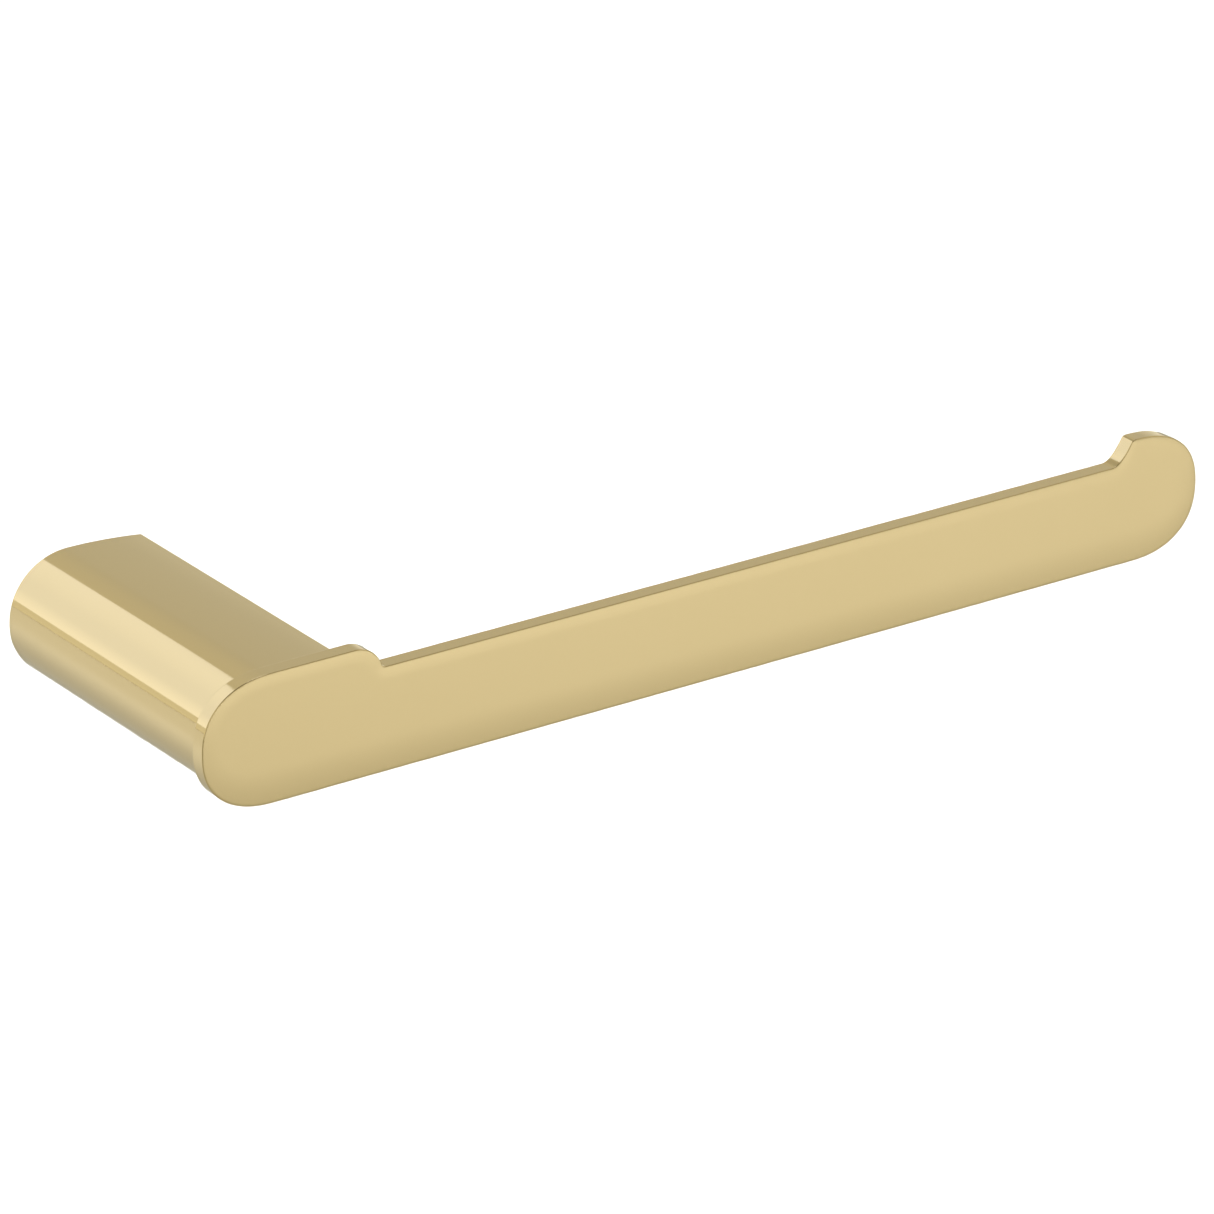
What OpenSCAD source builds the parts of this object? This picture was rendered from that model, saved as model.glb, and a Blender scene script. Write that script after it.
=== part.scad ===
// Wall-mounted toilet paper holder: a hollow post slides over a bracket on the wall and is
// locked by a set screw from below. A flat arm is clamped across the post's front by two
// studs. The tube of the roll hangs in a long notch in the arm's top edge.
//
// Frame: the origin is the middle of the post's section on the wall face. +Y goes into the
// wall, +X runs along the arm to its free tip, +Z is up. "out" is a distance out from the wall.

/* [Arm] */
// Length of the arm, tip to tip
arm_length = 210; // [170:1:250]
// Height of the arm
arm_height = 23.6; // [20:0.2:32]
// Thickness of the arm plate
arm_thickness = 3; // [2:0.25:5]
// How far each rounded end reaches in from its tip
arm_end_depth = 14.1; // [8:0.1:18]
// Squareness of the rounded ends: 2 is an ellipse, more is squarer
arm_end_power = 2.3; // [2:0.02:4]
// How far the arm stands past the post on its short side
arm_overhang = 1.7; // [0:0.1:6]
// How far the arm stands past the post above and below
arm_lip = 0.2; // [0:0.1:1]

/* [Roll notch] */
// Depth of the notch below the arm's top edge
notch_depth = 4.4; // [3:0.1:7]
// Distance from the arm's post end to the crown of the shoulder that stops the roll
shoulder_length = 30; // [28:0.5:40]
// Radius of the shoulder's rounded end
shoulder_radius = 5.6; // [4.4:0.1:7]
// Distance from the arm's free tip to where the notch floor starts to rise
tip_length = 19.6; // [17:0.1:26]
// How far the rise to the tip runs along the arm
tip_rise_run = 4.6; // [2:0.1:8]
// Share of that run where the floor's line meets the line up to the tip
tip_rise_bend = 0.48; // [0.2:0.01:0.8]

/* [Post] */
// Distance from the wall to the arm's front face
reach = 65; // [55:1:90]
// Width of the post
post_width = 27.1; // [25:0.1:36]
// How far the post's rounded side reaches in from its edge
post_side_depth = 12; // [10:0.1:17]
// Squareness of the post's rounded side
post_side_power = 2.04; // [2:0.02:4]
// Radius of the shallow crown along the post's top and bottom
post_crown_radius = 110; // [50:1:180]
// Radius of the post's two corners on the side under the arm
post_corner_radius = 0.8; // [0.6:0.1:2]
// Thickness of the post's shell
post_wall = 2.2; // [1.6:0.1:2.6]
// Thickness of the post's closed front
post_front = 4; // [3:0.25:6]

/* [Wall bracket] */
// Depth of the bracket, out from the wall
bracket_depth = 14; // [12:0.5:20]
// Clearance between the bracket and the inside of the post
bracket_gap = 0.25; // [0.15:0.05:0.4]
// Metal between a countersink and the bracket's side
wall_sink_web = 1.1; // [0.5:0.05:1.5]
// Radius of the wall screw holes
wall_hole_radius = 2.4; // [1.75:0.05:2.6]
// Radius of the countersinks for the screw heads
wall_sink_radius = 4; // [3.5:0.1:4.2]

/* [Set screw] */
// Distance from the wall to the set screw's axis
set_screw_out = 7; // [5:0.5:8]
// Nominal radius of the set screw's thread
set_screw_radius = 2.5; // [2:0.5:2.5]
// Length of the set screw without its tip
set_screw_length = 5; // [4.5:0.1:5.5]
// Size across the flats of its hexagon socket
set_socket_flats = 2.5; // [2:0.5:2.5]
// Depth of its hexagon socket
set_socket_depth = 2.4; // [1.5:0.1:2.6]
// Radius of the soft tip
set_tip_radius = 1.4; // [1:0.1:1.6]
// How far the soft tip stands out of the screw
set_tip_proud = 0.6; // [0.4:0.1:1]
// How deep the soft tip is seated in the screw
set_tip_seat = 1.2; // [0.8:0.1:1.4]
// How far the fitted screw sits above the post's underside
set_screw_recess = 0.2; // [0.1:0.1:0.6]

/* [Studs, nuts and washers] */
// Nominal radius of the stud's thread
stud_radius = 2; // [1.5:0.5:2]
// Length of the stud with its flange
stud_length = 10; // [9.5:0.5:14]
// Radius of the flange that is welded to the arm
stud_flange_radius = 2.75; // [2.5:0.05:3]
// Thickness of that flange
stud_flange_thickness = 0.8; // [0.5:0.1:1.2]
// Size across the flats of the nut
nut_flats = 7; // [5.5:0.5:7]
// Height of the nut
nut_height = 3.2; // [2.4:0.1:4]
// Outer radius of the plain washer
washer_radius = 4.5; // [3.5:0.1:4.5]
// Thickness of the plain washer
washer_thickness = 0.8; // [0.5:0.1:1]
// Outer radius of the lock washer
lock_radius = 3.8; // [3:0.1:4]
// Thickness of the lock washer
lock_thickness = 1; // [0.7:0.1:1.2]
// Width of the split in the lock washer
lock_split = 0.9; // [0.5:0.1:1.5]

/* [Fits] */
// Radial clearance of a screw in its thread
thread_gap = 0.05; // [0.02:0.01:0.1]
// Radial clearance of a stud in the post's hole
stud_hole_gap = 0.15; // [0.1:0.05:0.4]
// Clearance between a plain washer and the side of the post's hollow
washer_side_gap = 1.35; // [0.3:0.05:1.6]
// Clearance round the set screw's pad in the bracket's channel
channel_gap = 0.4; // [0.2:0.05:0.8]

/* [Hidden] */
$fn = 64;

brass_colour = [0.84, 0.74, 0.52];
steel_colour = [0.70, 0.71, 0.73];
end_steps = 24;     // straight steps along a quarter of a rounded end
crown_steps = 8;    // straight steps along half of the post's crown
corner_steps = 6;   // straight steps round a corner
rise_steps = 10;    // straight steps up the rise to the arm's tip
through = 0.5;      // how far a cut runs past the face it opens
sink_angle = 45;    // half angle of the countersinks
hex = 6;

arm_left = -post_width / 2 - arm_overhang;
arm_right = arm_left + arm_length;
arm_top = arm_height / 2;
arm_back = reach - arm_thickness;           // out from the wall
notch_floor = arm_top - notch_depth;
shoulder_end = arm_left + shoulder_length;  // where the shoulder starts to fall
shoulder_centre = arm_top - shoulder_radius;
rise_start = arm_right - tip_length;
rise_end = rise_start + tip_rise_run;

post_height = arm_height - 2 * arm_lip;
post_right = post_width / 2;
post_crown_x = post_side_depth - post_width / 2;
cavity_front = arm_back - post_front;       // out from the wall
stud_x = post_right - post_wall - washer_side_gap - washer_radius;
wall_hole_x = post_right - post_wall - bracket_gap - wall_sink_web - wall_sink_radius;

screw_bottom = -post_height / 2 + set_screw_recess;
screw_top = screw_bottom + set_screw_length;
land_height = screw_top + set_tip_proud;    // flat under the bracket that the tip presses on
pad_height = screw_top - set_tip_proud;     // top of the threaded pad inside the post
pad_width = 2 * set_screw_radius + 4;

washer_out = cavity_front - washer_thickness;
lock_out = washer_out - lock_thickness;
nut_out = lock_out - nut_height;
stud_out = arm_back - stud_length;
nut_corner = nut_flats / (2 * cos(180 / hex));
nut_chamfer = 0.4;

// A point of a rounded end at an angle, with half sizes a and b and a squareness
function rounded(angle, a, b, power) = [
    sign(cos(angle)) * a * pow(abs(cos(angle)), 2 / power),
    sign(sin(angle)) * b * pow(abs(sin(angle)), 2 / power)
];

// A point of a curve that leaves start towards bend and reaches end from bend
function bent(start, bend, end, t) =
    (1 - t) * (1 - t) * start + 2 * t * (1 - t) * bend + t * t * end;

function mirrored_up(points) = [for (i = [len(points) - 1:-1:0]) [points[i][0], -points[i][1]]];

// The post's outline, moved inwards by inset, from its crown round the corner to mid height
function post_lower_right(inset) =
    let (
        crown = post_crown_radius - inset,
        side = post_right - inset,
        bottom = post_height / 2 - inset,
        corner = max(post_corner_radius - inset, 0.4),
        sweep = asin((side - corner - post_crown_x) / (crown - corner)),
        centre = [side - corner, crown - bottom - (crown - corner) * cos(sweep)]
    )
    concat(
        [for (i = [0:crown_steps])
            let (angle = sweep * i / crown_steps)
            [post_crown_x + crown * sin(angle), crown - bottom - crown * cos(angle)]],
        [for (i = [1:corner_steps])
            let (angle = sweep + (90 - sweep) * i / corner_steps)
            centre + corner * [sin(angle), -cos(angle)]]
    );

function post_left(inset) = [
    for (i = [1:2 * end_steps - 1])
        [post_crown_x, 0] + rounded(90 + 90 * i / end_steps,
            post_side_depth - inset, post_height / 2 - inset, post_side_power)
];

module post_outline(inset) {
    lower = post_lower_right(inset);
    polygon(concat(post_left(inset), lower, mirrored_up(lower)));
}

module arm_outline() {
    end_half = [arm_end_depth, arm_top];
    post_end = [for (i = [0:2 * end_steps])
        [arm_left + arm_end_depth, 0]
            + rounded(90 + 90 * i / end_steps, end_half[0], end_half[1], arm_end_power)];
    free_end = [for (i = [0:2 * end_steps])
        [arm_right - arm_end_depth, 0]
            + rounded(-90 + 90 * i / end_steps, end_half[0], end_half[1], arm_end_power)];
    rise = [for (i = [rise_steps:-1:0])
        bent([rise_start, notch_floor],
            [rise_start + tip_rise_run * tip_rise_bend, notch_floor],
            [rise_end, arm_top], i / rise_steps)];
    fall_angle = acos((notch_floor - shoulder_centre) / shoulder_radius);
    shoulder = [for (i = [corner_steps * 2:-1:0])
        let (angle = fall_angle * i / (corner_steps * 2))
        [shoulder_end, shoulder_centre] + shoulder_radius * [sin(angle), cos(angle)]];
    polygon(concat(post_end, free_end, rise, shoulder));
}

// Stands a flat shape up and gives it a depth between two distances out from the wall
module from_wall(near, far) {
    translate([0, -near, 0])
        rotate([90, 0, 0])
            linear_extrude(far - near)
                children();
}

// A round bar along Y between two distances out from the wall
module bar(x, near, far, radius) {
    translate([x, -near, 0])
        rotate([90, 0, 0])
            cylinder(r = radius, h = far - near);
}

module roll_arm() {
    color(brass_colour)
        from_wall(arm_back, reach)
            arm_outline();
}

// The pad inside the post that gives the set screw enough thread
module set_screw_pad() {
    intersection() {
        from_wall(0, set_screw_out + pad_width / 2)
            post_outline(post_wall / 2);
        translate([-pad_width / 2, -reach, -post_height])
            cube([pad_width, reach, post_height + pad_height]);
    }
}

module post_body() {
    color(brass_colour)
        difference() {
            union() {
                difference() {
                    from_wall(0, arm_back)
                        post_outline(0);
                    from_wall(-through, cavity_front)
                        post_outline(post_wall);
                }
                set_screw_pad();
            }
            for (side = [-1, 1]) {
                bar(side * stud_x, cavity_front - through, arm_back + through,
                    stud_radius + stud_hole_gap);
                bar(side * stud_x,
                    arm_back - stud_flange_thickness - stud_hole_gap, arm_back + through,
                    stud_flange_radius + stud_hole_gap);
            }
            translate([0, -set_screw_out, -post_height])
                cylinder(r = set_screw_radius, h = post_height + pad_height + through);
        }
}

module arm_stud(side) {
    color(brass_colour) {
        bar(side * stud_x, stud_out, arm_back, stud_radius);
        bar(side * stud_x, arm_back - stud_flange_thickness, arm_back,
            stud_flange_radius);
    }
}

module plain_washer(side) {
    color(steel_colour)
        difference() {
            bar(side * stud_x, washer_out, cavity_front, washer_radius);
            bar(side * stud_x, washer_out - through, cavity_front + through,
                stud_radius + 2 * thread_gap);
        }
}

module lock_washer(side) {
    color(steel_colour)
        difference() {
            bar(side * stud_x, lock_out, washer_out, lock_radius);
            bar(side * stud_x, lock_out - through, washer_out + through,
                stud_radius + thread_gap);
            translate([side * stud_x - lock_split / 2, -reach, 0])
                cube([lock_split, reach, post_height / 2]);
        }
}

module stud_nut(side) {
    color(steel_colour)
        translate([side * stud_x, -nut_out, 0])
            rotate([90, 0, 0])
                difference() {
                    intersection() {
                        cylinder(r = nut_corner, h = nut_height, $fn = hex);
                        rotate_extrude()
                            polygon([
                                [0, 0],
                                [nut_flats / 2, 0],
                                [nut_corner + nut_chamfer, nut_chamfer],
                                [nut_corner + nut_chamfer, nut_height - nut_chamfer],
                                [nut_flats / 2, nut_height],
                                [0, nut_height],
                            ]);
                    }
                    translate([0, 0, -through])
                        cylinder(r = stud_radius + thread_gap, h = nut_height + 2 * through);
                }
}

module wall_bracket() {
    sink_depth = wall_sink_radius - wall_hole_radius;
    color(steel_colour)
        difference() {
            from_wall(0, bracket_depth)
                post_outline(post_wall + bracket_gap);
            translate([-pad_width / 2 - channel_gap, -bracket_depth - through, -post_height])
                cube([pad_width + 2 * channel_gap, bracket_depth + 2 * through,
                    post_height + land_height]);
            for (side = [-1, 1])
                translate([side * wall_hole_x, 0, 0])
                    rotate([90, 0, 0]) {
                        translate([0, 0, -through])
                            cylinder(r = wall_hole_radius, h = bracket_depth + 2 * through);
                        translate([0, 0, bracket_depth - sink_depth])
                            cylinder(r1 = wall_hole_radius, r2 = wall_sink_radius + through,
                                h = (sink_depth + through) / tan(sink_angle));
                    }
        }
}

module set_screw() {
    color(steel_colour)
        translate([0, -set_screw_out, screw_bottom])
            difference() {
                cylinder(r = set_screw_radius - thread_gap, h = set_screw_length);
                translate([0, 0, -through])
                    cylinder(r = set_socket_flats / (2 * cos(180 / hex)),
                        h = set_socket_depth + through, $fn = hex);
                translate([0, 0, set_screw_length - set_tip_seat])
                    cylinder(r = set_tip_radius + thread_gap, h = set_tip_seat + through);
            }
}

module set_screw_tip() {
    color(brass_colour)
        translate([0, -set_screw_out, land_height - set_tip_proud - set_tip_seat])
            cylinder(r = set_tip_radius, h = set_tip_seat + set_tip_proud);
}

roll_arm();
post_body();
arm_stud(-1);  // arm_stud_left
arm_stud(1);  // arm_stud_right
plain_washer(-1);  // plain_washer_left
plain_washer(1);  // plain_washer_right
lock_washer(-1);  // lock_washer_left
lock_washer(1);  // lock_washer_right
stud_nut(-1);  // stud_nut_left
stud_nut(1);  // stud_nut_right
wall_bracket();
set_screw();
set_screw_tip();
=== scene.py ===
import math

import bmesh
import bpy
from mathutils import Matrix, Vector


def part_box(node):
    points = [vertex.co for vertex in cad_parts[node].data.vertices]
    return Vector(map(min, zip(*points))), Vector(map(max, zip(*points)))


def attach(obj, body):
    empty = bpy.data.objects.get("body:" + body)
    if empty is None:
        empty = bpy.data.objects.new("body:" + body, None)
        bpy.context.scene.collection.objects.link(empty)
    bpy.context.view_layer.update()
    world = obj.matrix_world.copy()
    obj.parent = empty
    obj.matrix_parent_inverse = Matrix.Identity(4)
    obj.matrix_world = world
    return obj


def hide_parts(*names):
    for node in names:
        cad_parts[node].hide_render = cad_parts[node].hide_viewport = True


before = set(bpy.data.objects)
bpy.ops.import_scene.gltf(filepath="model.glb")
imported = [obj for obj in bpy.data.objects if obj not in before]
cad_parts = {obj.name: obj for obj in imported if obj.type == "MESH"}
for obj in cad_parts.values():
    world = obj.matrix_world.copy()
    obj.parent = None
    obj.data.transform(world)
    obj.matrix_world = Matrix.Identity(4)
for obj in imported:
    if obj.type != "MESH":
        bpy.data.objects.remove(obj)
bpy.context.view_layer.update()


# ---------------------------------------------------------------------------
# The view. A long lens, a little above the arm and to the left of it, so that
# the post, the arm's front and its notched top edge are all seen at once.
# ---------------------------------------------------------------------------
arm_low, arm_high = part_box("roll_arm")
view_turn = math.radians(35.114)      # how far the view swings to the left of straight on
view_tilt = math.radians(23.348)      # how far it looks down
view_distance = 1.21877               # from the camera to the arm's middle
view_aside = 0.01965                  # how far the view's axis passes to the left of it
view_over = 0.00115                   # and how far above it
view_roll = math.radians(0.332)       # how far the camera's top leans to the left
view_lens = 210.5                     # millimetres, on a sensor of the size below
view_sensor = 36.0

forward = Vector((math.sin(view_turn) * math.cos(view_tilt),
                  math.cos(view_turn) * math.cos(view_tilt),
                  -math.sin(view_tilt)))
rightward = Vector((math.cos(view_turn), -math.sin(view_turn), 0.0))
upward = rightward.cross(forward)
arm_middle = Vector(((arm_low.x + arm_high.x) / 2, arm_low.y, (arm_low.z + arm_high.z) / 2))

lens = bpy.data.cameras.new("camera")
lens.lens = view_lens
lens.sensor_width = view_sensor
lens.clip_end = 50.0
camera = bpy.data.objects.new("camera", lens)
bpy.context.scene.collection.objects.link(camera)
turned = (Matrix((rightward, upward, -forward)).transposed()
          @ Matrix.Rotation(view_roll, 3, "Z")).to_4x4()
camera.matrix_world = Matrix.Translation(
    arm_middle - view_distance * forward - view_aside * rightward + view_over * upward) @ turned
bpy.context.scene.camera = camera


# ---------------------------------------------------------------------------
# The floor and the light. A pale matt floor well below the holder, a pale room,
# a large soft box behind on the left and a small one above, and three lit areas
# of floor. The satin metal mirrors all of them as broad, soft bands.
# ---------------------------------------------------------------------------
floor_depth = 0.66                    # a holder hangs about this far above the floor
floor_half = 9.0                      # from the floor's middle to its edge
floor_tones = ((0.86, 0.85, 0.76), (0.88, 0.87, 0.78))
floor_mottle_scale = 3.0
floor_roughness = 0.9
floor_shine = 0.1
room_colour = (1.0, 0.965, 0.80)
# pairs of the sine of the height above the horizon and how bright the room is there
room_glow = ((0.0, 0.95), (0.30, 0.66), (0.46, 0.66), (0.62, 0.74), (0.80, 0.36), (1.0, 0.12))

bpy.context.scene.view_settings.view_transform = "Standard"


def plain_material(name):
    """A new node material, its tree and its shader."""
    material = bpy.data.materials.new(name)
    material.use_nodes = True
    shader = material.node_tree.nodes["Principled BSDF"]
    return material, material.node_tree, shader


def linked_object(name, data):
    piece = bpy.data.objects.new(name, data)
    bpy.context.scene.collection.objects.link(piece)
    return piece


def floor_material():
    material, tree, shader = plain_material("pale_floor")
    place = tree.nodes.new("ShaderNodeTexCoord")
    mottle = tree.nodes.new("ShaderNodeTexNoise")
    mottle.inputs["Scale"].default_value = floor_mottle_scale
    tone = tree.nodes.new("ShaderNodeMix")
    tone.data_type = "RGBA"
    tone.inputs["A"].default_value = (*floor_tones[0], 1.0)
    tone.inputs["B"].default_value = (*floor_tones[1], 1.0)
    tree.links.new(place.outputs["Object"], mottle.inputs["Vector"])
    tree.links.new(mottle.outputs["Fac"], tone.inputs["Factor"])
    tree.links.new(tone.outputs["Result"], shader.inputs["Base Color"])
    shader.inputs["Roughness"].default_value = floor_roughness
    shader.inputs["Specular IOR Level"].default_value = floor_shine
    return material


def pale_room():
    room = bpy.data.worlds.new("room")
    room.use_nodes = True
    nodes, link = room.node_tree.nodes, room.node_tree.links.new
    place = nodes.new("ShaderNodeTexCoord")
    parts = nodes.new("ShaderNodeSeparateXYZ")
    glow = nodes.new("ShaderNodeValToRGB")
    stops = glow.color_ramp.elements
    while len(stops) < len(room_glow):
        stops.new(0.5)
    for stop, (height, level) in zip(stops, room_glow):
        stop.position = height
        stop.color = (level, level, level, 1.0)
    link(place.outputs["Generated"], parts.inputs["Vector"])
    link(parts.outputs["Z"], glow.inputs["Fac"])
    link(glow.outputs["Color"], nodes["Background"].inputs["Strength"])
    nodes["Background"].inputs["Color"].default_value = (*room_colour, 1.0)
    return room


def soft_box(name, place, aim, width, height, glow, colour, spread, turn=0.0):
    """A rectangular light at a place, facing another. Glow is how bright its front looks
    from straight ahead, whatever the spread of its grid."""
    half = math.radians(spread) / 2
    light = bpy.data.lights.new(name, "AREA")
    light.shape = "RECTANGLE"
    light.size = width
    light.size_y = height
    light.color = colour
    light.energy = glow * math.pi * width * height * (1 - half / math.tan(half))
    light.spread = 2 * half
    lamp = linked_object(name, light)
    away = (Vector(place) - Vector(aim)).to_track_quat("Z", "Y").to_matrix().to_4x4()
    lamp.matrix_world = (Matrix.Translation(Vector(place)) @ away
                         @ Matrix.Rotation(math.radians(turn), 4, "Z"))


def floor_box(name, x, y, above, width, height, lit, colour, spread, turn=0.0):
    """A soft box straight above the floor. Lit is the light that falls on the floor under it."""
    half = math.radians(spread) / 2
    soft_box(name, (x, y, above - floor_depth), (x, y, -floor_depth), width, height,
             lit / (1 - half / math.tan(half)), colour, spread, turn)


floor_mesh = bpy.data.meshes.new("floor")
floor_mesh.from_pydata(
    [(x * floor_half, y * floor_half, -floor_depth)
     for x, y in ((-1, -1), (1, -1), (1, 1), (-1, 1))], [], [(0, 1, 2, 3)])
floor = linked_object("floor", floor_mesh)
floor.data.materials.append(floor_material())
bpy.context.scene.world = pale_room()

day = (0.65, 0.73, 1.0)               # the light's colour from the large box
noon = (0.80, 0.83, 1.0)              # and from the others
soft_box("side_box", (-0.640, 1.352, 0.654), (0.091, 0.227, -0.218), 1.30, 1.28, 0.83, day, 180.0)
soft_box("top_box", (0.45, 0.54, 1.32), (0.0, 0.0, 0.0), 0.5, 0.5, 2.4, noon, 180.0)
floor_box("back_floor_box", 1.075, 1.278, 1.16, 0.76, 1.50, 1.24, noon, 6.0, -30.6)
floor_box("left_floor_box", -4.45, 4.15, 1.30, 8.0, 8.0, 0.72, noon, 69.0)
floor_box("front_floor_box", 1.13, -1.75, 2.16, 1.4, 1.4, 1.64, noon, 70.0)


# ---------------------------------------------------------------------------
# The arm. A 3 mm brass plate, cut to shape with a long notch for the roll's
# tube, edges eased by polishing, brushed along its length and lacquered.
# ---------------------------------------------------------------------------
arm_end_depth = 0.0141                # the rounded ends, as far in as they reach
arm_end_power = 2.3                   # and their squareness
notch_depth = 0.0044
shoulder_length = 0.030               # from the post end to where the shoulder falls
shoulder_radius = 0.0056
tip_length = 0.0196                   # from the free tip to where the notch floor rises
tip_rise_run = 0.0046
tip_rise_bend = 0.48                  # share of that run where its two lines would meet
rise_steps = 20
shoulder_steps = 24
arm_corner_ease = 0.0007              # small rounding of the notch's two corners
arm_edge_radius = 0.00018             # of the eased edges
arm_edge_reach_low = 0.0005           # the front edge is eased this far in along the bottom
arm_back_ring = 2.5                   # edge radii in, where the flat of the back begins
edge_steps = 5
end_steps = 40
polish_reach_low = 0.0060             # polishing has softened the face this far in, at the bottom
polish_reach_top = 0.0022             # and at the top
polish_slope = 0.065                  # how steep it has made the face, at the edge
polish_fade = 0.5                     # how fast that reach grows away from the sharp corner
polish_rings = 10
steepest_corner = 0.5                 # stops an inset corner from being stretched too far
merge_distance = 1e-7
sharp_angle = math.radians(40.0)      # faces that meet more steeply stay crisp
gold_tones = ((0.658, 0.522, 0.270), (0.674, 0.536, 0.282))
gold_satin = (0.06, 0.09)             # its roughness, from and to
gold_grain = 0.000006                 # how high the grain stands
grain_along, grain_across = 90.0, 9000.0
lacquer = 0.4
lacquer_roughness = 0.05
drift_scale = 35.0                    # of the slow change of tone over a metal
grain_strength = 0.1


def rounded(angle, half_width, half_height, power):
    """A point of a rounded end, which is an ellipse where power is 2 and squarer above."""
    c, s = math.cos(angle), math.sin(angle)
    return Vector((math.copysign(half_width * abs(c) ** (2 / power), c),
                   math.copysign(half_height * abs(s) ** (2 / power), s)))


def bent(start, bend, end, t):
    """A point of the curve that leaves start towards bend and reaches end from it."""
    return (1 - t) ** 2 * start + 2 * t * (1 - t) * bend + t * t * end


def eased(outline, corner, radius, steps=6):
    """The outline with one corner rounded: points nearer than radius give way to a bend."""
    tip = outline[corner]
    kept = outline[corner:] + outline[:corner]
    after = next(i for i in range(1, len(kept)) if (kept[i] - tip).length > radius)
    before = next(i for i in range(1, len(kept)) if (kept[-i] - tip).length > radius)
    leave = tip + (kept[-before] - tip).normalized() * radius
    reach = tip + (kept[after] - tip).normalized() * radius
    bend = [bent(leave, tip, reach, i / steps) for i in range(steps + 1)]
    return kept[after:len(kept) - before + 1] + bend


def arm_outline():
    """The plate's outline seen from the front, anticlockwise, and its sharpest corner."""
    top = arm_high.z
    notch_floor = top - notch_depth
    turn = [math.pi / 2 + math.pi * i / (2 * end_steps) for i in range(2 * end_steps + 1)]
    post_end = [Vector((arm_low.x + arm_end_depth, 0))
                + rounded(a, arm_end_depth, top, arm_end_power) for a in turn]
    free_end = [Vector((arm_high.x - arm_end_depth, 0))
                + rounded(a + math.pi, arm_end_depth, top, arm_end_power) for a in turn]
    rise_start = Vector((arm_high.x - tip_length, notch_floor))
    rise_end = Vector((rise_start.x + tip_rise_run, top))
    rise_bend = Vector((rise_start.x + tip_rise_run * tip_rise_bend, notch_floor))
    rise = [bent(rise_start, rise_bend, rise_end, 1 - i / rise_steps)
            for i in range(rise_steps + 1)]
    centre = Vector((arm_low.x + shoulder_length, top - shoulder_radius))
    fall = math.acos((notch_floor - centre.y) / shoulder_radius)
    shoulder = [centre + shoulder_radius * Vector((math.sin(a), math.cos(a)))
                for a in (fall * (1 - i / shoulder_steps) for i in range(shoulder_steps + 1))]
    outline = post_end + free_end + rise + shoulder
    foot = len(outline) - len(shoulder)
    outline = eased(outline, foot, arm_corner_ease)
    tip = min(range(len(outline)), key=lambda i: (outline[i] - rise_end).length)
    return eased(outline, tip, arm_corner_ease), rise_end


def inset(outline, distances):
    """A closed anticlockwise outline moved inwards, each point by its own distance."""
    count = len(outline)
    moved = []
    for i in range(count):
        before = (outline[i] - outline[i - 1]).normalized()
        after = (outline[(i + 1) % count] - outline[i]).normalized()
        inward = Vector((-before.y - after.y, before.x + after.x)).normalized()
        lean = max(inward.dot(Vector((-after.y, after.x))), steepest_corner)
        moved.append(outline[i] + inward * distances[i] / lean)
    return moved


def skinned(name, rings, close_start=True, close_end=True):
    """A mesh through closed rings of points, each ring with as many points as the last."""
    count = len(rings[0])
    points = [p for ring in rings for p in ring]
    faces = [(r * count + i, r * count + (i + 1) % count,
              (r + 1) * count + (i + 1) % count, (r + 1) * count + i)
             for r in range(len(rings) - 1) for i in range(count)]
    if close_start:
        faces.append(tuple(reversed(range(count))))
    if close_end:
        faces.append(tuple(range((len(rings) - 1) * count, len(rings) * count)))
    mesh = bpy.data.meshes.new(name)
    mesh.from_pydata(points, [], faces)
    return mesh


def smoothed(mesh):
    """Merges doubles, points the faces outwards and shades smoothly up to an angle."""
    shell = bmesh.new()
    shell.from_mesh(mesh)
    bmesh.ops.remove_doubles(shell, verts=shell.verts, dist=merge_distance)
    bmesh.ops.recalc_face_normals(shell, faces=shell.faces)
    shell.to_mesh(mesh)
    shell.free()
    for face in mesh.polygons:
        face.use_smooth = True
    mesh.set_sharp_from_angle(angle=sharp_angle)
    return mesh


def even_normals(piece):
    """Lets the large flat faces set the shading, so that only the eased edges turn it."""
    weigh = piece.modifiers.new("even_normals", "WEIGHTED_NORMAL")
    weigh.keep_sharp = True
    weigh.weight = 100


def settled(piece):
    """Makes the piece a plain mesh, with what its modifiers do to it."""
    graph = bpy.context.evaluated_depsgraph_get()
    mesh = bpy.data.meshes.new_from_object(piece.evaluated_get(graph))
    piece.modifiers.clear()
    piece.data = mesh


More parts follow.
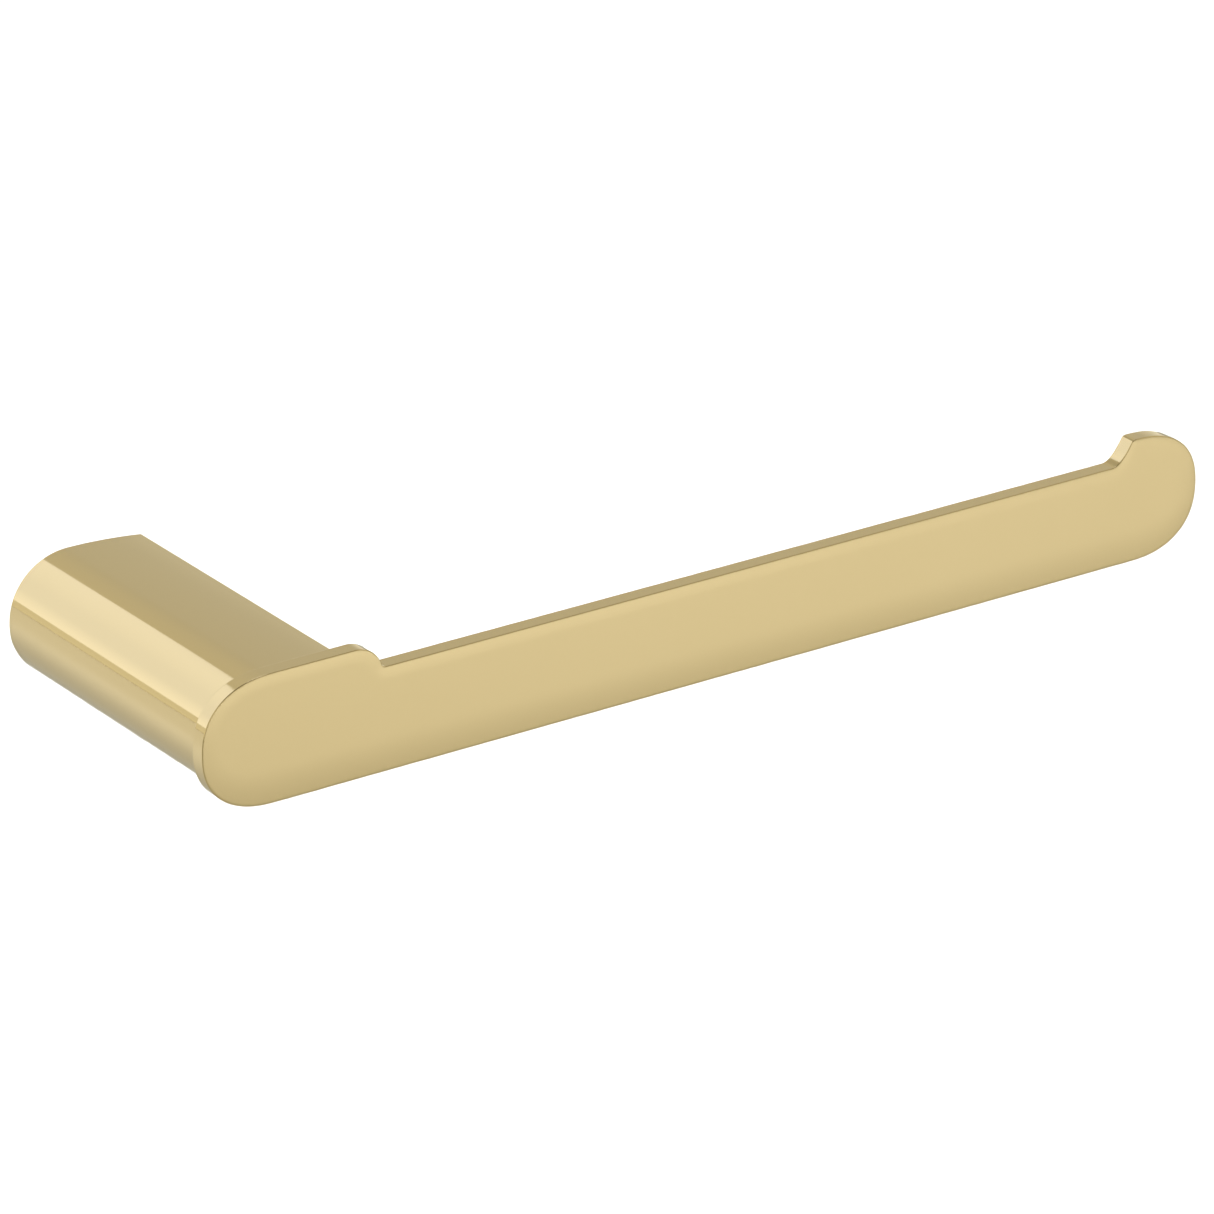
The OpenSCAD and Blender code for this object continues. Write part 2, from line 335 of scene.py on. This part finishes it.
def metal(name, tones, satin, grain, bump_height, coat=0.0):
    """A metal: its colour drifts between two tones and its roughness between two values,
    with a grain whose scales along X, Y and Z are given, and a clear lacquer if coated."""
    material, tree, shader = plain_material(name)
    nodes, link = tree.nodes, tree.links.new
    place = nodes.new("ShaderNodeTexCoord")
    stretch = nodes.new("ShaderNodeMapping")
    stretch.inputs["Scale"].default_value = grain
    strokes = nodes.new("ShaderNodeTexNoise")
    strokes.inputs["Scale"].default_value = 1.0
    strokes.inputs["Detail"].default_value = 3.0
    drift = nodes.new("ShaderNodeTexNoise")
    drift.inputs["Scale"].default_value = drift_scale
    drift.inputs["Detail"].default_value = 2.0
    tone = nodes.new("ShaderNodeMix")
    tone.data_type = "RGBA"
    tone.inputs["A"].default_value = (*tones[0], 1.0)
    tone.inputs["B"].default_value = (*tones[1], 1.0)
    rough = nodes.new("ShaderNodeMapRange")
    rough.inputs["To Min"].default_value = satin[0]
    rough.inputs["To Max"].default_value = satin[1]
    bump = nodes.new("ShaderNodeBump")
    bump.inputs["Strength"].default_value = grain_strength
    bump.inputs["Distance"].default_value = bump_height
    link(place.outputs["Object"], stretch.inputs["Vector"])
    link(stretch.outputs["Vector"], strokes.inputs["Vector"])
    link(place.outputs["Object"], drift.inputs["Vector"])
    link(drift.outputs["Fac"], tone.inputs["Factor"])
    link(strokes.outputs["Fac"], rough.inputs["Value"])
    link(strokes.outputs["Fac"], bump.inputs["Height"])
    link(tone.outputs["Result"], shader.inputs["Base Color"])
    link(rough.outputs["Result"], shader.inputs["Roughness"])
    link(bump.outputs["Normal"], shader.inputs["Normal"])
    shader.inputs["Metallic"].default_value = 1.0
    shader.inputs["Coat Weight"].default_value = coat
    shader.inputs["Coat Roughness"].default_value = lacquer_roughness
    return material


def satin_gold(name, brushed_along):
    """Lacquered brass with a fine grain along one axis."""
    grain = [grain_along if axis == brushed_along else grain_across for axis in "XYZ"]
    return metal(name, gold_tones, gold_satin, grain, gold_grain, lacquer)


def finished(piece, material, body, node):
    """Gives a piece its material, its even shading and its place in the frame."""
    piece.data.materials.clear()
    piece.data.materials.append(material)
    even_normals(piece)
    settled(piece)
    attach(piece, body)
    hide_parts(node)


def build_arm():
    outline, sharp_corner = arm_outline()
    polish, eases = [], []
    for p in outline:
        lowness = (arm_high.z - p.y) / (arm_high.z - arm_low.z)
        reach = polish_reach_top + (polish_reach_low - polish_reach_top) * lowness ** 2
        polish.append(min(reach, arm_corner_ease + polish_fade * (p - sharp_corner).length))
        eases.append(arm_edge_radius + (arm_edge_reach_low - arm_edge_radius) * lowness ** 2)
    face = arm_low.y - polish_slope / 2 * polish_reach_low
    rings = []
    for i in range(edge_steps + 1):
        a = math.pi / 2 * i / edge_steps
        ring = inset(outline, [ease * (1 - math.cos(a)) for ease in eases])
        rings.append([(p.x, face + polish_slope / 2 * reach
                       + arm_edge_radius * (1 - math.sin(a)), p.y)
                      for p, reach in zip(ring, polish)])
    for i in range(1, polish_rings + 1):
        share = i / polish_rings
        ring = inset(outline, [ease + share * reach for ease, reach in zip(eases, polish)])
        rings.append([(p.x, face + polish_slope / 2 * reach * (1 - share) ** 2, p.y)
                      for p, reach in zip(ring, polish)])
    back = []
    for i in range(edge_steps + 1):
        a = math.pi / 2 * i / edge_steps
        ring = inset(outline, [arm_edge_radius * (1 - math.cos(a))] * len(outline))
        back.append([(p.x, arm_high.y - arm_edge_radius * (1 - math.sin(a)), p.y) for p in ring])
    ring = inset(outline, [arm_edge_radius * arm_back_ring] * len(outline))
    back.append([(p.x, arm_high.y, p.y) for p in ring])
    arm = linked_object("arm_plate", smoothed(skinned("arm_plate", rings[::-1] + back)))
    finished(arm, satin_gold("satin_gold_along_arm", "X"), "holder", "roll_arm")


build_arm()


# ---------------------------------------------------------------------------
# The post. A cast brass shell with a closed front and an open back, round on
# its outer side and crowned above and below. Two stepped holes in its front
# take the arm's studs, and a pad inside it is tapped for the set screw.
# ---------------------------------------------------------------------------
post_low, post_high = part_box("post_body")
post_side_depth = 0.0120              # its round side, as far in as it reaches
post_side_power = 2.04                 # and its squareness
post_crown_radius = 0.110
post_corner_radius = 0.0008
post_corner_least = 0.0004            # what is left of it on the inside
post_wall = 0.0022
post_front = 0.004
post_rim_ease = 0.0003
crown_steps = 16
corner_steps = 8
turn_steps = 64
past = 0.0005                         # how far a cutter runs past the face it opens

stud_radius = 0.002
stud_x = 0.0055                       # to each side of the post's middle
stud_hole_gap = 0.00015
flange_radius = 0.00275
flange_thickness = 0.0008
screw_radius = 0.0025
screw_pitch = 0.0008
screw_out = 0.007                     # from the wall to the set screw's axis
screw_bottom = -0.0114
screw_mouth = 0.0003                  # the sink round the tapped hole, below
pad_top = -0.0070
pad_half_width = 0.0045
thread_gap = 0.00005
thread_depth_share = 0.54             # depth of a thread, as a share of its pitch
thread_crest = 1 / 16                 # half the width of its crest, as such a share
thread_root = 3 / 8                   # from the crest's middle to where its root begins
thread_rows = 20                      # along one pitch
thread_columns = 60                   # round one turn


def post_section(moved_in):
    """The post's outline seen from the front, anticlockwise, moved inwards by a distance."""
    crown = post_crown_radius - moved_in
    side = post_high.x - moved_in
    top = post_high.z - moved_in
    crown_x = post_low.x + post_side_depth
    corner = max(post_corner_radius - moved_in, post_corner_least)
    sweep = math.asin((side - corner - crown_x) / (crown - corner))
    low_right = [Vector((crown_x + crown * math.sin(a), crown - top - crown * math.cos(a)))
                 for a in (sweep * i / crown_steps for i in range(crown_steps + 1))]
    centre = Vector((side - corner, crown - top - (crown - corner) * math.cos(sweep)))
    low_right += [centre + corner * Vector((math.sin(a), -math.cos(a)))
                  for a in (sweep + (math.pi / 2 - sweep) * i / corner_steps
                            for i in range(1, corner_steps + 1))]
    round_side = [Vector((crown_x, 0))
                  + rounded(math.pi / 2 + math.pi * i / (2 * end_steps),
                            post_side_depth - moved_in, top, post_side_power)
                  for i in range(1, 2 * end_steps)]
    return round_side + low_right + [Vector((p.x, -p.y)) for p in reversed(low_right)]


def standing(outline, y):
    return [(p.x, y, p.y) for p in outline]


def turned_shape(name, profile, ring=False):
    """A mesh turned about Z from (radius, height) points, from axis to axis or as a ring."""
    if ring:
        profile = profile + profile[:1]
    angles = [2 * math.pi * i / turn_steps for i in range(turn_steps)]
    rings = [[(r * math.cos(a), r * math.sin(a), z) for a in angles] for r, z in profile]
    return linked_object(name, smoothed(skinned(name, rings, False, False)))


def out_of_wall(x, out):
    """Turns a shape built along Z to point out from the wall, its foot at a place on the wall's
    middle line and at a distance out."""
    return Matrix.Translation((x, -out, 0.0)) @ Matrix.Rotation(math.pi / 2, 4, "X")


def up_at(out, z):
    return Matrix.Translation((0.0, -out, z))


def worked(piece, tool, operation="DIFFERENCE"):
    """Cuts the tool's shape out of the piece, or joins it on, and throws the tool away."""
    step = piece.modifiers.new("work", "BOOLEAN")
    step.operation = operation
    step.solver = "EXACT"
    step.object = tool
    settled(piece)
    bpy.data.objects.remove(tool)
    smoothed(piece.data)


def thread_tree():
    """A node tree that wraps a grid into a solid threaded rod about Z, right-handed."""
    tree = bpy.data.node_groups.new("threaded_rod", "GeometryNodeTree")
    face = tree.interface
    face.new_socket("Geometry", in_out="INPUT", socket_type="NodeSocketGeometry")
    for name in ("Radius", "Start", "Length", "Pitch", "Depth", "Chamfer"):
        face.new_socket(name, in_out="INPUT", socket_type="NodeSocketFloat")
    face.new_socket("Rows", in_out="INPUT", socket_type="NodeSocketInt")
    face.new_socket("Columns", in_out="INPUT", socket_type="NodeSocketInt")
    face.new_socket("Material", in_out="INPUT", socket_type="NodeSocketMaterial")
    face.new_socket("Geometry", in_out="OUTPUT", socket_type="NodeSocketGeometry")
    nodes, link = tree.nodes, tree.links.new
    given = nodes.new("NodeGroupInput")
    result = nodes.new("NodeGroupOutput")

    def math_node(operation, *values):
        node = nodes.new("ShaderNodeMath")
        node.operation = operation
        for socket, value in zip(node.inputs, values):
            if isinstance(value, float):
                socket.default_value = value
            else:
                link(value, socket)
        return node.outputs[0]

    grid = nodes.new("GeometryNodeMeshGrid")
    grid.inputs["Size X"].default_value = 1.0
    grid.inputs["Size Y"].default_value = 1.0
    link(given.outputs["Rows"], grid.inputs["Vertices X"])
    link(given.outputs["Columns"], grid.inputs["Vertices Y"])
    place = nodes.new("GeometryNodeInputPosition")
    parts = nodes.new("ShaderNodeSeparateXYZ")
    link(place.outputs[0], parts.inputs[0])
    along = math_node("ADD", parts.outputs["X"], 0.5)
    turn = math_node("ADD", parts.outputs["Y"], 0.5)
    end_row = math_node("DIVIDE", 1.0, math_node("SUBTRACT", given.outputs["Rows"], 1.0))
    span = nodes.new("ShaderNodeMapRange")
    link(along, span.inputs["Value"])
    link(end_row, span.inputs["From Min"])
    link(math_node("SUBTRACT", 1.0, end_row), span.inputs["From Max"])
    rise = math_node("MULTIPLY", span.outputs["Result"], given.outputs["Length"])
    height = math_node("ADD", rise, given.outputs["Start"])
    phase = math_node("SUBTRACT", math_node("DIVIDE", height, given.outputs["Pitch"]), turn)
    wave = math_node("PINGPONG", phase, 0.5)
    flank = nodes.new("ShaderNodeMapRange")
    flank.inputs["From Min"].default_value = thread_crest
    flank.inputs["From Max"].default_value = thread_root
    link(wave, flank.inputs["Value"])
    link(given.outputs["Depth"], flank.inputs["To Max"])
    crest = math_node("SUBTRACT", given.outputs["Radius"], flank.outputs["Result"])
    left = math_node("SUBTRACT", given.outputs["Length"], rise)
    eased_end = math_node("ADD", math_node("MINIMUM", rise, left),
                          math_node("SUBTRACT", given.outputs["Radius"], given.outputs["Chamfer"]))
    from_end = math_node("MINIMUM", along, math_node("SUBTRACT", 1.0, along))
    inside = math_node("GREATER_THAN", from_end, math_node("MULTIPLY", end_row, 0.5))
    radius = math_node("MULTIPLY", math_node("MINIMUM", crest, eased_end), inside)
    angle = math_node("MULTIPLY", turn, 2 * math.pi)
    joined = nodes.new("ShaderNodeCombineXYZ")
    link(math_node("MULTIPLY", radius, math_node("COSINE", angle)), joined.inputs["X"])
    link(math_node("MULTIPLY", radius, math_node("SINE", angle)), joined.inputs["Y"])
    link(height, joined.inputs["Z"])
    wrap = nodes.new("GeometryNodeSetPosition")
    link(grid.outputs["Mesh"], wrap.inputs["Geometry"])
    link(joined.outputs[0], wrap.inputs["Position"])
    seam = nodes.new("GeometryNodeMergeByDistance")
    seam.inputs["Distance"].default_value = merge_distance
    link(wrap.outputs[0], seam.inputs["Geometry"])
    real = nodes.new("GeometryNodeRealizeInstances")
    link(seam.outputs[0], real.inputs[0])
    painted = nodes.new("GeometryNodeSetMaterial")
    link(real.outputs[0], painted.inputs["Geometry"])
    link(given.outputs["Material"], painted.inputs["Material"])
    link(painted.outputs[0], result.inputs[0])
    return tree


rod_tree = thread_tree()


def threaded(name, radius, pitch, start, length, material, chamfer=0.0):
    """A solid rod along Z with a thread, from a starting height. Two of its rows close the ends."""
    rod = linked_object(name, bpy.data.meshes.new(name))
    wrap = rod.modifiers.new("thread", "NODES")
    wrap.node_group = rod_tree
    values = {"Radius": radius, "Start": start, "Length": length, "Pitch": pitch,
              "Depth": pitch * thread_depth_share, "Chamfer": chamfer,
              "Rows": round(length / pitch * thread_rows) + 3, "Columns": thread_columns + 1,
              "Material": material}
    for item in rod_tree.interface.items_tree:
        if item.in_out == "INPUT" and item.name in values:
            wrap[item.identifier] = values[item.name]
    settled(rod)
    smoothed(rod.data)
    return rod


def build_post():
    gold = satin_gold("satin_gold_along_post", "Y")
    rings = [standing(post_section(0.0), post_low.y)]
    for i in range(edge_steps + 1):
        a = math.pi / 2 * i / edge_steps
        rings.append(standing(post_section(post_rim_ease * (1 - math.cos(a))),
                              post_high.y - post_rim_ease * (1 - math.sin(a))))
    rings.append(standing(post_section(post_wall), post_high.y))
    rings.append(standing(post_section(post_wall), post_low.y + post_front))
    post = linked_object("post_shell", smoothed(skinned("post_shell", rings)))
    pad_front = -screw_out - pad_half_width
    pad_section = [Vector((max(-pad_half_width, min(pad_half_width, p.x)), min(p.y, pad_top)))
                   for p in post_section(post_wall / 2) if p.y < pad_top]
    pad = linked_object("pad", smoothed(skinned("pad", [standing(pad_section, post_high.y - past),
                                                        standing(pad_section, pad_front)])))
    worked(post, pad, "UNION")
    for side in (-1, 1):
        hole = stud_radius + stud_hole_gap
        seat = flange_radius + stud_hole_gap
        seat_depth = flange_thickness + stud_hole_gap
        drill = turned_shape("drill", [
            (0, -past), (hole, -past), (hole, post_front - seat_depth),
            (seat, post_front - seat_depth), (seat, post_front + past), (0, post_front + past)])
        drill.data.transform(out_of_wall(side * stud_x, -post_low.y - post_front))
        worked(post, drill)
    low_face = post_low.z - screw_bottom
    sink = turned_shape("sink", [
        (0, low_face - past), (screw_radius + screw_mouth + past, low_face - past),
        (screw_radius - screw_mouth, low_face + 2 * screw_mouth), (0, low_face + 2 * screw_mouth)])
    sink.data.transform(up_at(screw_out, screw_bottom))
    worked(post, sink)
    tap = threaded("tap", screw_radius, screw_pitch, low_face - past,
                   pad_top - post_low.z + 2 * past, gold)
    tap.data.transform(up_at(screw_out, screw_bottom))
    worked(post, tap)
    finished(post, gold, "holder", "post_body")


build_post()


# ---------------------------------------------------------------------------
# The arm's studs. Turned brass, a threaded shank on a thin flange that is
# welded to the arm's back. Each passes through the front of the post.
# ---------------------------------------------------------------------------
stud_length = 0.010
stud_pitch = 0.0007
stud_chamfer = 0.0004
turned_brass = metal("turned_brass", ((0.66, 0.49, 0.23), (0.70, 0.53, 0.26)), (0.2, 0.3),
                     (3000.0, 3000.0, 3000.0), 0.00001)


def build_stud(side, name, node):
    foot = out_of_wall(side * stud_x, -post_low.y - stud_length)
    stud = threaded(name, stud_radius, stud_pitch, 0.0, stud_length - flange_thickness / 2,
                    turned_brass, stud_chamfer)
    ease = flange_thickness / 8
    flange = turned_shape("flange", [
        (0, stud_length - flange_thickness), (flange_radius - ease, stud_length - flange_thickness),
        (flange_radius, stud_length - flange_thickness + ease), (flange_radius, stud_length),
        (0, stud_length)])
    worked(stud, flange, "UNION")
    stud.data.transform(foot)
    finished(stud, turned_brass, "holder", node)


build_stud(-1, "stud_left", "arm_stud_left")
build_stud(1, "stud_right", "arm_stud_right")


# ---------------------------------------------------------------------------
# The plain washers. Stamped and zinc plated, the edge of one side rolled over
# by the stamping, pressed against the inside of the post's front.
# ---------------------------------------------------------------------------
washer_radius = 0.0045
washer_hole = stud_radius + 2 * thread_gap
washer_thickness = 0.0008
washer_roll = 0.0002
zinc_plate = metal("zinc_plate", ((0.60, 0.62, 0.66), (0.64, 0.65, 0.67)), (0.26, 0.36),
                   (1500.0, 1500.0, 1500.0), 0.000008)
cavity_front = -post_low.y - post_front   # out from the wall


def build_washer(side, name, node):
    roll = [(washer_radius - washer_roll * (1 - math.cos(a)), washer_roll * (1 - math.sin(a)))
            for a in (math.pi / 2 * i / edge_steps for i in range(edge_steps + 1))]
    profile = [(washer_hole, 0), *reversed(roll), (washer_radius, washer_thickness),
               (washer_hole, washer_thickness)]
    washer = turned_shape(name, profile, ring=True)
    washer.data.transform(out_of_wall(side * stud_x, cavity_front - washer_thickness))
    finished(washer, zinc_plate, "holder", node)


build_washer(-1, "flat_washer_left", "plain_washer_left")
build_washer(1, "flat_washer_right", "plain_washer_right")


# ---------------------------------------------------------------------------
# The lock washers. Spring wire of a nearly square section bent into a ring and
# cut through on a slant, here pressed flat, black from its oiled oxide.
# ---------------------------------------------------------------------------
lock_radius = 0.0038
lock_hole = stud_radius + thread_gap
lock_thickness = 0.001
lock_split = 0.0009
lock_slant = 0.00012
lock_ease = 0.0001
black_oxide = metal("black_oxide", ((0.11, 0.11, 0.12), (0.14, 0.14, 0.15)), (0.32, 0.44),
                    (2500.0, 2500.0, 2500.0), 0.00001)


def build_lock_washer(side, name, node):
    middle = (lock_hole + lock_radius) / 2
    half_width = (lock_radius - lock_hole) / 2
    corners = ((-1, -1, False), (-1, -1, True), (1, -1, True), (1, -1, False),
               (1, 1, False), (1, 1, True), (-1, 1, True), (-1, 1, False))
    section = [(u * (half_width - (lock_ease if turned_in else 0)),
                v * (lock_thickness / 2 - (0 if turned_in else lock_ease)))
               for u, v, turned_in in corners]
    rings = []
    for i in range(turn_steps + 1):
        share = i / turn_steps
        ring = []
        for u, v in section:
            radius = middle + u
            cut = math.asin((lock_split / 2 + lock_slant * 2 * v / lock_thickness * (1 - 2 * share))
                            / radius)
            angle = math.pi / 2 + cut + share * (2 * math.pi - 2 * cut)
            ring.append((radius * math.cos(angle), radius * math.sin(angle),
                         v + lock_thickness / 2))
        rings.append(ring)
    washer = linked_object(name, smoothed(skinned(name, rings)))
    washer.data.transform(
        out_of_wall(side * stud_x, cavity_front - washer_thickness - lock_thickness))
    finished(washer, black_oxide, "holder", node)


build_lock_washer(-1, "split_washer_left", "lock_washer_left")
build_lock_washer(1, "split_washer_right", "lock_washer_right")


# ---------------------------------------------------------------------------
# The nuts. Hexagon steel nuts, zinc plated, chamfered at both ends and tapped
# to the studs' thread, which they clamp the arm to the post with.
# ---------------------------------------------------------------------------
nut_flats = 0.007
nut_height = 0.0032
nut_chamfer = 0.0004
nut_out = cavity_front - washer_thickness - lock_thickness - nut_height


def hexagon(flats, turn=0.0):
    corner = flats / 2 / math.cos(math.pi / 6)
    return [(corner * math.cos(turn + math.pi * i / 3), corner * math.sin(turn + math.pi * i / 3))
            for i in range(6)]


def build_nut(side, name, node):
    bar = hexagon(nut_flats)
    nut = linked_object(name, smoothed(skinned(name, [[(x, y, z) for x, y in bar]
                                                      for z in (0.0, nut_height)])))
    corner = nut_flats / 2 / math.cos(math.pi / 6) + nut_chamfer
    barrel = turned_shape("barrel", [
        (0, 0), (nut_flats / 2, 0), (corner, nut_chamfer), (corner, nut_height - nut_chamfer),
        (nut_flats / 2, nut_height), (0, nut_height)])
    worked(nut, barrel, "INTERSECT")
    mouth = stud_radius + 3 * thread_gap
    for end, inwards in ((0.0, past), (nut_height, -past)):
        sink = turned_shape("sink", [
            (0, end - inwards), (mouth + past, end - inwards),
            (mouth - 2 * past, end + 2 * inwards), (0, end + 2 * inwards)])
        worked(nut, sink)
    start = -past + nut_out - (-post_low.y - stud_length)
    tap = threaded("tap", stud_radius + thread_gap, stud_pitch, start, nut_height + 2 * past,
                   zinc_plate)
    tap.data.transform(Matrix.Translation((0.0, 0.0, -start - past)))
    worked(nut, tap)
    nut.data.transform(out_of_wall(side * stud_x, nut_out))
    finished(nut, zinc_plate, "holder", node)


build_nut(-1, "hexagon_nut_left", "stud_nut_left")
build_nut(1, "hexagon_nut_right", "stud_nut_right")


# ---------------------------------------------------------------------------
# The wall bracket. A machined stainless block that fills the post's back end,
# with two countersunk holes for the wall screws and a channel below that the
# post's pad slides along. The set screw presses up against the channel's roof.
# ---------------------------------------------------------------------------
bracket_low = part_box("wall_bracket")[0]
bracket_gap = 0.00025
bracket_edge = 0.0004
wall_edge = 0.0002
channel_gap = 0.0004                  # to each side of the pad
channel_half = pad_half_width + channel_gap
channel_roof = -0.0058
wall_hole_x = 0.0060                  # to each side of the bracket's middle
wall_hole_radius = 0.0024
wall_sink_radius = 0.0040
machined_stainless = metal("machined_stainless", ((0.53, 0.53, 0.52), (0.57, 0.57, 0.56)),
                           (0.24, 0.36), (120.0, 6000.0, 6000.0), 0.000012)


def build_bracket():
    depth = -bracket_low.y
    around = post_wall + bracket_gap
    bracket = linked_object("bracket_block", smoothed(skinned("bracket_block", [
        standing(post_section(around + bracket_edge), -depth),
        standing(post_section(around), -depth + bracket_edge),
        standing(post_section(around), -wall_edge),
        standing(post_section(around + wall_edge), 0.0)])))
    rings = []
    for y, wider in ((-depth - past, bracket_edge + past), (-depth + bracket_edge, 0.0),
                     (past, 0.0)):
        half, roof = channel_half + wider, channel_roof + wider
        rings.append([(-half, y, post_low.z), (half, y, post_low.z), (half, y, roof),
                      (-half, y, roof)])
    worked(bracket, linked_object("channel", smoothed(skinned("channel", rings))))
    sink_depth = wall_sink_radius - wall_hole_radius
    for side in (-1, 1):
        drill = turned_shape("drill", [
            (0, -past), (wall_hole_radius, -past), (wall_hole_radius, depth - sink_depth),
            (wall_sink_radius + past, depth + past), (0, depth + past)])
        drill.data.transform(out_of_wall(side * wall_hole_x, 0.0))
        worked(bracket, drill)
    finished(bracket, machined_stainless, "bracket", "wall_bracket")


build_bracket()


# ---------------------------------------------------------------------------
# The set screw. A black socket screw, turned up from below into the post's pad
# until its soft tip grips the bracket. Hexagon socket below, seat for the tip
# above.
# ---------------------------------------------------------------------------
screw_length = 0.005
screw_chamfer = 0.0004
socket_flats = 0.0025
socket_depth = 0.0024
tip_radius = 0.0014
tip_seat = 0.0012
tip_proud = 0.0006


def build_set_screw():
    screw = threaded("socket_screw", screw_radius - thread_gap, screw_pitch, 0.0, screw_length,
                     black_oxide, screw_chamfer)
    key = linked_object("key", smoothed(skinned("key", [
        [(x, y, z) for x, y in hexagon(socket_flats)] for z in (-past, socket_depth)])))
    worked(screw, key)
    seat = screw_length - tip_seat - thread_gap
    bore = turned_shape("bore", [
        (0, seat), (tip_radius + thread_gap, seat),
        (tip_radius + thread_gap, screw_length + past), (0, screw_length + past)])
    worked(screw, bore)
    screw.data.transform(up_at(screw_out, screw_bottom))
    finished(screw, black_oxide, "screw", "set_screw")


build_set_screw()


# ---------------------------------------------------------------------------
# The set screw's tip. A turned brass pellet held loosely in the screw's end,
# so that it grips the steel bracket without marking it or turning on it.
# ---------------------------------------------------------------------------
tip_ease = 0.0002


def build_tip():
    height = tip_seat + tip_proud
    round_edge = [(tip_radius - tip_ease * (1 - math.sin(a)), height - tip_ease * (1 - math.cos(a)))
                  for a in (math.pi / 2 * (1 - i / edge_steps) for i in range(edge_steps + 1))]
    tip = turned_shape("soft_tip", [
        (0, 0), (tip_radius - tip_ease / 2, 0), (tip_radius, tip_ease / 2), *round_edge,
        (0, height)])
    tip.data.transform(up_at(screw_out, screw_bottom + screw_length - tip_seat))
    finished(tip, turned_brass, "screw_tip", "set_screw_tip")


build_tip()
